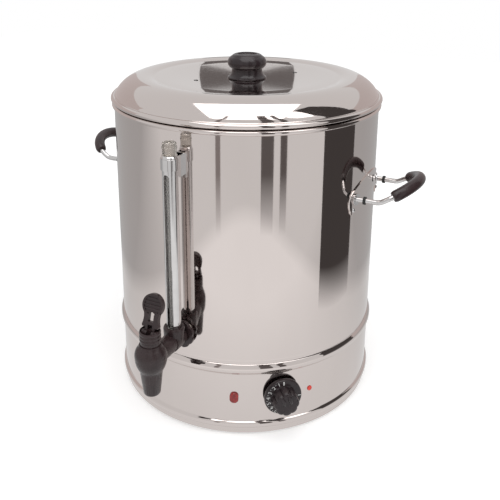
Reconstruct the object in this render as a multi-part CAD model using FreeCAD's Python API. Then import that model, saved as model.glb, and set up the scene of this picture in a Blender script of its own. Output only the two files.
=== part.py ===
import FreeCAD, Part
import math
import os
from FreeCAD import Vector

os.makedirs("parts", exist_ok=True)

# Catering hot water urn, in millimetres. The origin is on the urn's axis at the level of the
# table, +Z is up, and the tap points along -Y. An azimuth is the angle from the tap, positive
# towards +X.

# Driving dimensions of the vessel
bodyRadius = 180.0
sheet = 1.0
footGap = 3.0
seamBottom = 90.0
seamTop = 104.0
tankFloor = 116.0
rimTop = 408.6
lidCentre = 434.0
lidCrest = 437.5
lidCrestRadius = 126.0
lidSeatGap = 0.3
lidWallInset = 1.6
lidShoulder = 418.0
lidLipDrop = 9.0
ventReach = 74.0
ventAzimuth = -40.0

# Driving dimensions of the tap and the sight gauge
shankHeight = 140.0
spoutOut = 72.0
spoutBottom = 98.0
barrelTop = 164.0
seatHeight = 134.0
spoutBore = 7.5
throatRadius = 6.5
shankRadius = 9.0
chamberRadius = 10.0
pinHeight = 176.0
pinRadius = 1.5
stemBore = 3.55
cheekOut = 10.4
cheekThick = 3.5
leverLean = 16.0
stemLift = 3.6
gaugeOut = 20.5
guardRadius = 9.3
guardWall = 0.9
glassRadius = 6.0
guardTop = 379.0
slotTop = 357.0
socketTop = 159.0

# Driving dimensions of the controls
lampAzimuth = 21.5
lampHeight = 56.0
dialAzimuth = 41.0
dialHeight = 58.0
dialRadius = 24.5
dialDepth = 22.0
dotAzimuth = 53.6
dotHeight = 56.0
shaftRadius = 3.0
glandAzimuth = 180.0
glandHeight = 52.0
glandRadius = 8.0
cableRadius = 4.2

# Driving dimensions of the handles
footHalfSpan = 45.0
handleHeight = 302.0
wireRadius = 3.25
gripRadius = 7.5
legOut = 206.0
loopTilt = 30.0
bendRadius = 15.0
cornerRadius = 30.0
apexRadius = 47.0

spoutY = -(bodyRadius + spoutOut)
gaugeY = -(bodyRadius + gaugeOut)
up = Vector(0, 0, 1)
out = Vector(0, -1, 0)
inward = Vector(0, 1, 0)
across = Vector(1, 0, 0)
origin = Vector(0, 0, 0)


def save(shape, name):
    """Write one sub-part under its own name."""
    shape.exportStep("parts/" + name + ".step")
    print(name, "volume", round(shape.Volume), "valid", shape.isValid())


def edges(start, steps, place):
    """Lines and arcs through flat points. A step is an end, or a middle and an end for an arc."""
    made = []
    here = start
    for step in steps:
        if isinstance(step[0], tuple):
            middle, end = step
            made.append(Part.Arc(place(*here), place(*middle), place(*end)).toShape())
        else:
            end = step
            made.append(Part.LineSegment(place(*here), place(*end)).toShape())
        here = end
    return made


def section(start, steps, place):
    """A flat face. Its outline is closed by a line where its last step leaves a gap."""
    steps = list(steps)
    last = steps[-1]
    end = last[1] if isinstance(last[0], tuple) else last
    if end != start:
        steps.append(start)
    return Part.Face(Part.Wire(edges(start, steps, place)))


def turned(start, *steps):
    """A solid of revolution about Z, from a closed outline of radius and height."""
    face = section(start, steps, lambda r, z: Vector(r, 0, z))
    return face.revolve(origin, up, 360)


def rod(radius, length, base, direction=up):
    return Part.makeCylinder(radius, length, base, direction)


def tube(outer, inner, length, base, direction=up):
    return rod(outer, length, base, direction).cut(rod(inner, length, base, direction))


def hexagon(across, height, base, direction=up):
    """A hexagonal bar, given the width across its flats."""
    radius = across / math.sqrt(3)
    corners = []
    for i in range(7):
        angle = math.radians(60 * i)
        corners.append(Vector(radius * math.cos(angle), radius * math.sin(angle), 0))
    bar = Part.Face(Part.makePolygon(corners)).extrude(Vector(0, 0, height))
    bar.Placement = FreeCAD.Placement(base, FreeCAD.Rotation(up, direction))
    return bar


def around(shape, azimuth):
    """Swing a shape that was drawn on the tap's side round to another azimuth."""
    moved = shape.copy()
    moved.rotate(origin, up, azimuth)
    return moved


def group(shapes):
    return Part.makeCompound(shapes)


def union(shapes):
    return shapes[0].multiFuse(shapes[1:]).removeSplitter()


# Vessel and base

footAzimuths = [45, 135, 225, 315]
footRing = 150.0
coverScrewRing = 168.0
coverScrewAzimuths = [0, 90, 180, 270]
elementRing = 105.0
elementHeight = 138.0
elementTube = 4.2
elementGap = 9.0
elementDrop = 22.0
rivetReach = 49.0
rivetHeight = 288.5
rivetRadius = 1.6


def handle_rivet_axes():
    """Azimuths of the rivets that hold the two handle plates."""
    half = math.degrees(math.asin(rivetReach / bodyRadius))
    return [90 - half, 90 + half, 270 - half, 270 + half]


def tank():
    r = bodyRadius
    wall = turned(
        (r - sheet, seamTop + 0.3),
        (r, seamTop + 0.3),
        (r, rimTop - 6.5),
        ((r + 3.2, rimTop - 3.2), (r, rimTop)),
        ((r - sheet * 0.8, rimTop - 0.3), (r - sheet, rimTop - 1.2)),
    )
    floor = turned(
        (0, tankFloor),
        (r - 8, tankFloor),
        ((r - 3.2, tankFloor + 1.6), (r - sheet - 0.2, tankFloor + 6)),
        (r - sheet + 0.1, tankFloor + 6),
        (r - sheet + 0.1, tankFloor + 7.5),
        (r - sheet - 0.6, tankFloor + 7.5),
        ((r - 4.2, tankFloor + 2.8), (r - 8, tankFloor + sheet)),
        (0, tankFloor + sheet),
    )
    shell = wall.fuse(floor)
    holes = [rod(shankRadius + 0.2, 12, Vector(0, -(r - 6), shankHeight), out)]
    for side in (-1, 1):
        holes.append(rod(elementTube + 1.9, 6, Vector(side * elementGap, elementRing, tankFloor - 2)))
    holes.append(rod(4.1, 6, Vector(50, 60, tankFloor - 2)))
    for azimuth in handle_rivet_axes():
        drilled = rod(rivetRadius + 0.05, 12, Vector(0, -(r - 6), rivetHeight), out)
        holes.append(around(drilled, azimuth))
    return shell.cut(group(holes))


def base_skirt():
    """Rolled skirt with its foot ridge below and the seam bead above."""
    r = bodyRadius
    foot, ridge, bead = footGap, 3.2, 3.6
    shell = turned(
        (r - 3.6, foot),
        (r - 0.4, foot),
        (r, foot + 1),
        (r, 11),
        ((r + ridge, 16), (r, 21)),
        (r, seamBottom),
        ((r + bead, (seamBottom + seamTop) / 2), (r, seamTop)),
        (r - 1.3, seamTop),
        (r - 1.3, seamTop + 7),
        (r - 2.3, seamTop + 7),
        (r - 2.3, seamTop - 1),
        (r - 1.0, seamTop - 1),
        ((r + bead - 1.0, (seamBottom + seamTop) / 2), (r - 1.0, seamBottom + 1)),
        (r - 1.0, 20),
        ((r + ridge - 1.0, 16), (r - 1.0, 12)),
        (r - 1.0, foot + 1.2),
        (r - 3.6, foot + 1.2),
    )
    lamp = around(rod(5.0, 12, Vector(0, -(r - 6), lampHeight), out), lampAzimuth)
    bush = around(rod(5.2, 12, Vector(0, -(r - 6), dialHeight), out), dialAzimuth)
    dot = around(rod(1.6, 12, Vector(0, -(r - 6), dotHeight), out), dotAzimuth)
    gland = around(rod(glandRadius + 0.1, 12, Vector(0, -(r - 6), glandHeight), out), glandAzimuth)
    return shell.cut(group([lamp, bush, dot, gland]))


def base_plate():
    """Dished bottom cover with rings of cooling slots."""
    low, high, edge = footGap + 1.4, footGap + 5, bodyRadius - 1.4
    plate = turned(
        (0, high), (140, high), (143, low), (edge, low),
        (edge, low + sheet), (144, low + sheet), (141, high + sheet), (0, high + sheet),
    )
    slotHalf, slotRadius = 8.0, 2.5
    cuts = []
    for ring, count in ((60.0, 8), (95.0, 12)):
        for i in range(count):
            ends = [rod(slotRadius, 6, Vector(x, -ring, high - 2)) for x in (-slotHalf, slotHalf)]
            corner = Vector(-slotHalf, -ring - slotRadius, high - 2)
            middle = Part.makeBox(2 * slotHalf, 2 * slotRadius, 6, corner)
            cuts.append(around(middle.fuse(ends), 360.0 * i / count))
    for azimuth in footAzimuths:
        cuts.append(around(rod(3.2, 8, Vector(0, -footRing, footGap)), azimuth))
    for azimuth in coverScrewAzimuths:
        cuts.append(around(rod(1.8, 8, Vector(0, -coverScrewRing, footGap)), azimuth))
    return plate.cut(group(cuts))


def base_screws():
    screws = []
    for azimuth in coverScrewAzimuths:
        head = Part.makeCone(2.0, 3.4, 1.3, Vector(0, -coverScrewRing, footGap + 0.1))
        shank = rod(1.7, 12, Vector(0, -coverScrewRing, footGap + 1.4))
        screws.append(around(head.fuse(shank), azimuth))
    return group(screws)


def cover_brackets():
    """Angle tabs inside the skirt that take the bottom cover's screws."""
    tabs = []
    for azimuth in coverScrewAzimuths:
        y = -coverScrewRing
        ledge = Part.makeBox(16, 18, 2, Vector(-8, y - 8.5, footGap + 3.2))
        leg = Part.makeBox(16, 1.6, 24, Vector(-8, y - 10.1, footGap + 3.2))
        bore = rod(1.75, 6, Vector(0, y, footGap + 1))
        tabs.append(around(ledge.fuse(leg).cut(bore), azimuth))
    return group(tabs)


def rubber_feet():
    feet = []
    for azimuth in footAzimuths:
        foot = turned((0, 0), (12, 0), (14, footGap + 1.3), (0, footGap + 1.3))
        stem = rod(3.1, 3.0, Vector(0, 0, footGap + 1.3))
        lip = Part.makeCone(4.4, 3.0, 2.4, Vector(0, 0, footGap + 2.5))
        whole = foot.fuse([stem, lip])
        whole.translate(Vector(0, -footRing, 0))
        feet.append(around(whole, azimuth))
    return group(feet)


# Heating and wiring inside the base

def heating_element():
    """Sheathed heater: an open ring over the floor whose two ends turn down through it."""
    ring, bend = elementRing, 12.0
    half = math.degrees(math.asin((elementGap + bend) / ring))

    def on_ring(degrees):
        angle = math.radians(degrees)
        return Vector(ring * math.sin(angle), ring * math.cos(angle), elementHeight)

    parts = []
    loop = Part.makeTorus(ring, elementTube, Vector(0, 0, elementHeight), up, -180, 180, 360 - 2 * half)
    loop.rotate(Vector(0, 0, elementHeight), up, 90 + half)
    parts.append(loop)
    for side in (-1, 1):
        end = on_ring(side * half)
        middle = Vector(end.x - side * bend * 0.70, end.y * 0.3 + ring * 0.7, elementHeight - bend * 0.29)
        legTop = Vector(side * elementGap, ring, elementHeight - bend)
        turn = Part.Arc(end, middle, legTop).toShape()
        start = Part.Wire([Part.makeCircle(elementTube, end, turn.tangentAt(turn.FirstParameter))])
        parts.append(Part.Wire([turn]).makePipeShell([start], True, False))
        legFoot = Vector(side * elementGap, ring, tankFloor - elementDrop)
        parts.append(rod(elementTube, legTop.z - legFoot.z, legFoot))
    return union(parts)


def element_nuts():
    nuts = []
    for side in (-1, 1):
        foot = Vector(side * elementGap, elementRing, tankFloor - 6.5)
        nut = hexagon(15.5, 5, foot).cut(rod(elementTube + 0.05, 6, foot))
        nuts.append(nut)
    return group(nuts)


def element_seals():
    seals = []
    for side in (-1, 1):
        foot = Vector(side * elementGap, elementRing, tankFloor + sheet + 0.02)
        seals.append(tube(7.6, elementTube + 0.05, 3, foot))
    return group(seals)


def thermostat():
    """Capillary thermostat: a stepped can on a clamped bracket, with its threaded bush."""
    wall = bodyRadius - 1.1
    plateThick, canDeep, blockDeep, bladeWide, bushRadius = 1.5, 20.0, 12.0, 6.3, 5.0
    canFront = -wall + 0.2 + plateThick
    blockFront = canFront + canDeep
    plate = Part.makeBox(44, plateThick, 26, Vector(-22, -wall + 0.2, dialHeight - 13))
    can = rod(17, canDeep, Vector(0, canFront, dialHeight), inward)
    block = Part.makeBox(26, blockDeep, 40, Vector(-13, blockFront, dialHeight - 20))
    blades = []
    for x in (-8, 0, 8):
        for z in (dialHeight - 10, dialHeight + 10):
            corner = Vector(x - bladeWide / 2, blockFront + blockDeep, z)
            blades.append(Part.makeBox(bladeWide, 8, 0.8, corner))
    bush = rod(bushRadius, 4.1, Vector(0, -wall + 0.2, dialHeight), out)
    body = union([plate, can, block, bush] + blades)
    body = body.cut(rod(shaftRadius + 0.05, 26, Vector(0, 15 - wall, dialHeight), out))
    inside = rod(wall, 200, origin)
    front = rod(bushRadius, 12, Vector(0, -(bodyRadius - 8), dialHeight), out)
    return around(body.common(inside.fuse(front)), dialAzimuth)


def thermostat_nut():
    base = Vector(0, -(bodyRadius + 0.1), dialHeight)
    nut = hexagon(13, 2.4, base, out).cut(rod(5.05, 4, Vector(0, -(bodyRadius - 1), dialHeight), out))
    return around(nut, dialAzimuth)


def sensor_bulb():
    """Bulb of the thermostat in its clip under the tank, with its capillary."""
    bulbRadius, pipeRadius = 3.0, 0.9
    level = tankFloor - bulbRadius - 0.4
    route = [
        Vector(20, -30, level), Vector(20, -60, level),
        Vector(45, -80, level - 18.6), Vector(80, -92, level - 36.6),
    ]
    bulb = rod(bulbRadius, 70, route[0], inward)
    pipe = []
    for one, two in zip(route[:-1], route[1:]):
        pipe.append(rod(pipeRadius, (two - one).Length, one, two - one))
        pipe.append(Part.makeSphere(pipeRadius, two))
    return union([bulb] + pipe)


def boil_dry_cutout():
    """Snap disc on a bracket, pressed against the underside of the tank."""
    x, y, top, bladeWide = -40.0, 10.0, tankFloor - 0.1, 6.3
    can = rod(8, 9, Vector(x, y, top - 9))
    flange = Part.makeBox(32, 12, 1, Vector(x - 16, y - 6, top - 4.5))
    reset = rod(2, 4, Vector(x, y, top - 12.9))
    blades = []
    for side in (-5, 4.2):
        blades.append(Part.makeBox(bladeWide, 0.8, 9, Vector(x - bladeWide / 2, y + side, top - 17.9)))
    return union([can, flange, reset] + blades)


def terminal_block():
    """Three-way block with screw towers, on the cover side of the gland."""
    middle, low, baseHigh = 123.0, footGap + 6.3, 6.0
    towerWide, towerDeep, towerHigh, pitch = 11.0, 18.0, 12.0, 16.0
    towers = [Part.makeBox(48, 22, baseHigh, Vector(-24, middle - 11, low))]
    bores = []
    for x in (-pitch, 0, pitch):
        corner = Vector(x - towerWide / 2, middle - towerDeep / 2, low + baseHigh)
        towers.append(Part.makeBox(towerWide, towerDeep, towerHigh, corner))
        bores.append(rod(2.2, 12, Vector(x, middle, low + baseHigh + 1.7)))
        bores.append(rod(2.6, 30, Vector(x, middle - 15, low + baseHigh + 5.2), inward))
    return union(towers).cut(group(bores))


def earth_stud():
    foot, washerThick = Vector(-70, 90, footGap + 6.1), 1.2
    stud = rod(2.5, 16, foot)
    washer = rod(5.5, washerThick, foot)
    nut = hexagon(8, 4, foot + Vector(0, 0, washerThick))
    return union([stud, washer, nut])


def cable_gland():
    """Screwed cable gland in the back of the skirt, empty of any cable."""
    inside = -(bodyRadius - 1.1)
    outside = -(bodyRadius + 0.1)
    nutAcross, collarDeep = 22.0, 6.0
    thread = rod(glandRadius, 14, Vector(0, inside + 11, glandHeight), out)
    nut = hexagon(nutAcross, 5, Vector(0, inside + 6.2, glandHeight), out)
    collar = hexagon(nutAcross, collarDeep, Vector(0, outside - 0.6, glandHeight), out)
    dome = Part.makeCone(10.4, 7.2, 11, Vector(0, outside - 0.6 - collarDeep, glandHeight), out)
    body = union([thread, nut, collar, dome])
    body = body.cut(rod(cableRadius, 60, Vector(0, inside + 20, glandHeight), out))
    return around(body, glandAzimuth)


# Controls on the skirt

def rounded_tile(width, height, corner, depth, y, z):
    """A plate with rounded corners that faces the tap's side."""
    a, b, c = width / 2, height / 2, corner
    k = c * (1 - math.sqrt(0.5))
    face = section(
        (-a + c, -b),
        [
            (a - c, -b), ((a - k, -b + k), (a, -b + c)),
            (a, b - c), ((a - k, b - k), (a - c, b)),
            (-a + c, b), ((-a + k, b - k), (-a, b - c)),
            (-a, -b + c), ((-a + k, -b + k), (-a + c, -b)),
        ],
        lambda x, h: Vector(x, y, z + h),
    )
    return face.extrude(Vector(0, -depth, 0))


def lamp_lens():
    y = -(bodyRadius - 0.2)
    lens = rounded_tile(11.4, 14.4, 5.2, 3.2, y, lampHeight)
    rim = [edge for edge in lens.Edges if edge.BoundBox.YMax < y - 3.0]
    lens = lens.makeFillet(1.6, rim)
    lens = lens.cut(rod(bodyRadius + 0.05, 40, Vector(0, 0, lampHeight - 20)))
    return around(lens, lampAzimuth)


def lamp_body():
    neck = rod(4.9, 15.8, Vector(0, -(bodyRadius - 16), lampHeight), out)
    clip = tube(7.5, 4.9, 2, Vector(0, -(bodyRadius - 5), lampHeight), out)
    body = neck.fuse(clip)
    for x in (-2.5, 2.5):
        body = body.fuse(Part.makeBox(2.8, 8, 0.8, Vector(x - 1.4, -(bodyRadius - 16), lampHeight)))
    return around(body, lampAzimuth)


def pointer_dot():
    y = -(bodyRadius + 0.1)
    pin = rod(1.55, 5, Vector(0, y + 4, dotHeight), out)
    cap = rod(3.4, 1.0, Vector(0, y, dotHeight), out)
    rim = [edge for edge in cap.Edges if edge.BoundBox.YMax < y - 0.9]
    return around(cap.makeFillet(0.8, rim).fuse(pin), dotAzimuth)


def dial_knob():
    """Skirted knob: a bevelled number ring, a scalloped hub and two finger ridges."""
    y = -(bodyRadius + 3.2)
    hubRadius, ringDepth, lobes = 18.2, 5.5, 12
    profile = section(
        (0, 0),
        [
            (dialRadius, 0), (dialRadius, 1.6), ((dialRadius - 0.5, 3.4), (dialRadius - 2, ringDepth - 1)),
            (hubRadius, ringDepth), (hubRadius - 0.8, dialDepth - 3),
            ((hubRadius - 1.6, dialDepth - 1), (hubRadius - 4, dialDepth)), (0, dialDepth + 0.6),
        ],
        lambda r, d: Vector(r, y - d, dialHeight),
    )
    knob = profile.revolve(Vector(0, y, dialHeight), inward, 360)
    cuts = []
    for i in range(lobes):
        angle = math.radians(360.0 * (i + 0.5) / lobes)
        reach = hubRadius + 2.3
        centre = Vector(reach * math.cos(angle), y - ringDepth - 1.0, dialHeight + reach * math.sin(angle))
        cuts.append(rod(3.6, dialDepth, centre, out))
    cuts.append(rod(shaftRadius, 12, Vector(0, y, dialHeight), out))
    knob = knob.cut(group(cuts))
    ridges = []
    for x in (-4.6, 4.6):
        ridge = rounded_tile(5.2, 17, 2.5, 3.2, y - dialDepth + 1.0, dialHeight + 4)
        ridge.translate(Vector(x, 0, 0))
        ridges.append(ridge)
    return around(union([knob] + ridges), dialAzimuth)


def dial_shaft():
    """Thermostat spindle, half of its outer end cut flat for the knob."""
    y = -(bodyRadius + 3.2)
    shaft = rod(shaftRadius, 24, Vector(0, y + 12.6, dialHeight), out)
    return around(shaft, dialAzimuth)


# Tap

def tap_body():
    """Hollow moulding: spout, valve barrel, arm, gauge socket and threaded shank."""
    y = spoutY
    barrel = turned(
        (0, spoutBottom),
        (9.4, spoutBottom),
        (10.2, spoutBottom + 1.2),
        (13.6, 129),
        ((17.6, 137), (19.0, 146)),
        ((18.4, 154), (14.6, 160.5)),
        (13.2, barrelTop),
        (0, barrelTop),
    )
    barrel.translate(Vector(0, y, 0))
    low = Part.Wire([Part.makeCircle(13.0, Vector(0, y + 4, shankHeight + 3), out)])
    high = Part.Wire([Part.makeCircle(11.0, Vector(0, gaugeY - 6, shankHeight), out)])
    arm = Part.makeLoft([low, high], True)
    hub = rod(12.0, -(bodyRadius + 9.5) - gaugeY + 10, Vector(0, -(bodyRadius + 9.5), shankHeight), out)
    socket = turned(
        (0, shankHeight - 6), (11, shankHeight - 6), (12.8, shankHeight + 4),
        (13.3, socketTop - 2), (12.4, socketTop), (0, socketTop),
    )
    socket.translate(Vector(0, gaugeY, 0))
    shank = rod(shankRadius, 26, Vector(0, -(bodyRadius - 16), shankHeight), out)
    solid = union([barrel, arm, hub, socket, shank])
    outlet = rod(spoutBore, seatHeight - 3 - spoutBottom, Vector(0, y, spoutBottom))
    throat = rod(throatRadius, 8, Vector(0, y, seatHeight - 4))
    chamber = rod(chamberRadius, barrelTop - seatHeight + 1, Vector(0, y, seatHeight))
    inlet = rod(6.0, 96, Vector(0, -(bodyRadius - 20), shankHeight + 0.5), out)
    inlet = inlet.common(Part.makeBox(40, -(bodyRadius - 20) - y, 60, Vector(-20, y, shankHeight - 30)))
    well = rod(guardRadius + 0.1, socketTop - shankHeight - 8, Vector(0, gaugeY, shankHeight + 9))
    port = rod(3.5, 14, Vector(0, gaugeY, shankHeight))
    return solid.cut(group([outlet, throat, chamber, inlet, well, port]))


def lobed_nut(radius, depth, y):
    """Plastic nut with a scalloped edge, on the shank's axis."""
    lobes, lobeRadius = 8, 4.4
    nut = rod(radius, depth, Vector(0, y, shankHeight), out)
    cuts = []
    for i in range(lobes):
        angle = math.radians(360.0 * i / lobes)
        reach = radius + 2.6
        centre = Vector(reach * math.cos(angle), y + 1, shankHeight + reach * math.sin(angle))
        cuts.append(rod(lobeRadius, depth + 2, centre, out))
    cuts.append(rod(shankRadius + 0.05, depth + 2, Vector(0, y + 1, shankHeight), out))
    return nut.cut(group(cuts))


def tap_washers(outside):
    """Silicone washer, hollowed to sit on the round wall."""
    if outside:
        ring = tube(14, shankRadius + 0.05, 3.0, Vector(0, -(bodyRadius - 1.0), shankHeight), out)
        return ring.cut(rod(bodyRadius + 0.05, 60, Vector(0, 0, shankHeight - 30)))
    ring = tube(14, shankRadius + 0.05, 4.4, Vector(0, -(bodyRadius - 4.6), shankHeight), out)
    return ring.common(rod(bodyRadius - sheet - 0.05, 60, Vector(0, 0, shankHeight - 30)))


def tap_bonnet():
    """Screwed cap of the barrel, with the two cheeks that carry the lever's pin."""
    y = spoutY
    plug = rod(chamberRadius - 0.1, 4, Vector(0, y, barrelTop - 3.5))
    cap = turned(
        (0, barrelTop + 0.1), (12.2, barrelTop + 0.1), (12.2, barrelTop + 3),
        ((11.9, barrelTop + 5.6), (10.6, barrelTop + 7)), (0, barrelTop + 7),
    )
    cap.translate(Vector(0, y, 0))
    eyeRadius = 4.5
    cheeks = []
    for x in (-cheekOut, cheekOut - cheekThick):
        corner = Vector(x, y - eyeRadius, barrelTop + 2)
        post = Part.makeBox(cheekThick, 2 * eyeRadius, pinHeight - corner.z, corner)
        eye = rod(eyeRadius, cheekThick, Vector(x, y, pinHeight), across)
        cheeks += [post, eye]
    bonnet = union([plug, cap] + cheeks)
    stemHole = rod(stemBore, 20, Vector(0, y, barrelTop - 6))
    pinHole = rod(pinRadius, 30, Vector(-15, y, pinHeight), across)
    return bonnet.cut(group([stemHole, pinHole]))


def lever_pin():
    return rod(pinRadius, 2 * cheekOut, Vector(-cheekOut, spoutY, pinHeight), across)


def valve_stem():
    """Round stem with a flat tongue, slotted for the pin so that it can rise."""
    y = spoutY
    tongueHalf, tongueTop, slotRadius = 2.45, barrelTop + 18, pinRadius + 0.1
    collarLow, collarTop = barrelTop - 1.8, barrelTop + 3
    stem = rod(2.4, collarLow + 1 - (seatHeight + 3), Vector(0, y, seatHeight + 3))
    collar = rod(stemBore - 0.05, collarTop - collarLow, Vector(0, y, collarLow))
    corner = Vector(-tongueHalf, y - tongueHalf, collarTop - 1)
    tongue = Part.makeBox(2 * tongueHalf, 2 * tongueHalf, tongueTop - corner.z, corner)
    high, low = pinHeight + 0.1, pinHeight - stemLift - 0.4
    slot = [Part.makeBox(8, 2 * slotRadius, high - low, Vector(-4, y - slotRadius, low))]
    for z in (high, low):
        slot.append(rod(slotRadius, 8, Vector(-4, y, z), across))
    return union([stem, collar, tongue]).cut(group(slot))


def seat_cup():
    """Silicone cup on the foot of the stem that closes the throat."""
    cup = turned(
        (0, seatHeight + 0.3), (5.6, seatHeight + 0.3), ((8.2, seatHeight + 1.2), (8.6, seatHeight + 4)),
        (7.6, seatHeight + 8), (4.6, seatHeight + 9.5), (2.4, seatHeight + 9.5),
        (2.4, seatHeight + 3), (0, seatHeight + 3),
    )
    cup.translate(Vector(0, spoutY, 0))
    return cup


def valve_spring():
    """Closing spring between the cup and the bonnet, one unbroken wire."""
    low, high, turns, coil, wire = seatHeight + 10.4, barrelTop - 4.4, 5.0, 5.6, 0.6
    path = Part.makeHelix((high - low) / turns, high - low, coil)
    start = Part.Wire([Part.makeCircle(wire, Vector(coil, 0, 0), Vector(0, 1, 0.2))])
    spring = Part.Wire(path).makePipeShell([start], True, True)
    spring.translate(Vector(0, spoutY, low))
    return spring


def tap_lever():
    """Paddle lever: forked foot, waisted arm with a slot, and a dished ribbed head."""
    thick, footUp, headUp, headRadius = 5.6, 8.2, 34.0, 13.8
    hubHalf, forkHalf, forkReach, slotHalf = 6.6, 3.1, 11.4, 3.6
    neckUp = headUp - 9.3
    face = section(
        (-10.6, footUp),
        [
            (10.6, footUp), (11.2, 10.5), ((9.6, 18), (10.2, neckUp)),
            ((0, headUp + headRadius), (-10.2, neckUp)), ((-9.6, 18), (-11.2, 10.5)),
        ],
        lambda x, h: Vector(x, -thick / 2, h),
    )
    paddle = face.extrude(Vector(0, thick, 0))
    neck = Part.makeBox(2 * hubHalf, 5.4, 12, Vector(-hubHalf, -2.7, -1))
    hub = rod(4.6, 2 * hubHalf, Vector(-hubHalf, 0, 0), across)
    lever = union([paddle, neck, hub])
    dish = rod(headRadius - 2.6, 2, Vector(0, -thick / 2 + 1.1, headUp), out)
    lever = lever.cut(dish)
    ribs = []
    for i in range(5):
        h = headUp - 8 + 4 * i
        half = math.sqrt((headRadius - 2.7) ** 2 - (h - headUp) ** 2)
        ribs.append(Part.makeBox(2 * half, 1.6, 1.3, Vector(-half, -thick / 2 + 0.1, h - 0.65)))
    lever = union([lever] + ribs)
    slotEnd = rod(slotHalf, 12, Vector(0, 6, 22.8), out)
    slot = Part.makeBox(2 * slotHalf, 12, 8, Vector(-slotHalf, -6, 14.8))
    pinHole = rod(pinRadius + 0.06, 20, Vector(-10, 0, 0), across)
    fork = Part.makeBox(2 * forkHalf, 12, 19, Vector(-forkHalf, -6, -6))
    fork = fork.common(rod(forkReach, 2 * forkHalf, Vector(-forkHalf, 0, 0), across))
    lever = lever.cut(group([slotEnd, slot, pinHole])).cut(fork)
    lever.rotate(origin, across, -leverLean)
    lever.translate(Vector(0, spoutY, pinHeight))
    return lever


# Sight gauge

def gauge_glass():
    base = Vector(0, gaugeY, shankHeight + 12)
    return tube(glassRadius, glassRadius - 1.3, guardTop - 5 - base.z, base)


def gauge_guard():
    """Polished guard tube with one long slot, its top end arched."""
    base = Vector(0, gaugeY, shankHeight + 9.2)
    shell = tube(guardRadius, guardRadius - guardWall, guardTop - base.z, base)
    halfWidth = 4.0
    slot = Part.makeBox(2 * halfWidth, 12, slotTop - halfWidth - base.z + 1,
                        Vector(-halfWidth, gaugeY - 12, base.z - 1))
    arch = rod(halfWidth, 12, Vector(0, gaugeY, slotTop - halfWidth), out)
    return shell.cut(slot.fuse(arch))


def gauge_seal():
    ring = Part.makeTorus(glassRadius + 1.1, 1.05, Vector(0, gaugeY, shankHeight + 16), up)
    return ring.cut(rod(glassRadius + 0.02, 8, Vector(0, gaugeY, shankHeight + 12)))


def gauge_cap():
    """Clear stopper of the glass, with a stepped rim and a shallow dome."""
    cap = turned(
        (0, guardTop - 4.6), (glassRadius - 1.5, guardTop - 4.6), (glassRadius - 1.5, guardTop + 0.2),
        (8.5, guardTop + 0.2), (8.5, guardTop + 7.5), (8.9, guardTop + 8.0), (8.9, guardTop + 10.0),
        (8.3, guardTop + 10.6), (8.3, guardTop + 13.2), ((7.8, guardTop + 15), (6.2, guardTop + 15.6)),
        (0, guardTop + 16.4),
    )
    cap.translate(Vector(0, gaugeY, 0))
    return cap


def gauge_clip():
    """Bent strip: a ring round the guard that widens into a tab on the wall."""
    low, tall, thick, drop, tabHalf, below = 362.0, 13.5, 1.5, 13.0, 10.0, 332.0
    ring = rod(guardRadius + thick, tall, Vector(0, gaugeY, low))
    bridge = Part.makeBox(13, gaugeOut - 1, 26, Vector(-6.5, gaugeY, low - 12.5))
    ramp = section(
        (gaugeY, low),
        [(gaugeY, low - drop), (gaugeY + guardRadius + thick, low - drop)],
        lambda y, z: Vector(-tabHalf, y, z),
    ).extrude(Vector(2 * tabHalf, 0, 0))
    tab = Part.makeBox(2 * tabHalf, 8, 30, Vector(-tabHalf, -(bodyRadius + 2), low - 15))
    tab = tab.common(rod(bodyRadius + thick, 80, Vector(0, 0, below)))
    hollow = Part.makeBox(10, 30, 26.1, Vector(-5, gaugeY, low - 12.6))
    hollow = hollow.cut(rod(bodyRadius + thick, 80, Vector(0, 0, below)))
    guard = rod(guardRadius + 0.05, 80, Vector(0, gaugeY, below))
    wall = rod(bodyRadius + 0.05, 80, Vector(0, 0, below))
    return union([ring, bridge, tab]).cut(ramp).cut(group([guard, wall, hollow]))


# Handles, drawn for the right side

def tilted(w, t):
    """A point of the loop's raised plane: w along the wall, t up the slope from the bend."""
    slope = math.radians(loopTilt)
    return Vector(legOut + t * math.cos(slope), w, handleHeight + t * math.sin(slope))


def loop_joint():
    """Where the loop's corner arc meets its apex arc, and the apex arc's centre."""
    startT = bendRadius * math.tan(math.radians(loopTilt / 2))
    offset = footHalfSpan - cornerRadius
    centreT = startT - math.sqrt((apexRadius - cornerRadius) ** 2 - offset ** 2)
    share = apexRadius / (apexRadius - cornerRadius)
    return startT, centreT, -offset * share, centreT + (startT - centreT) * share


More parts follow.
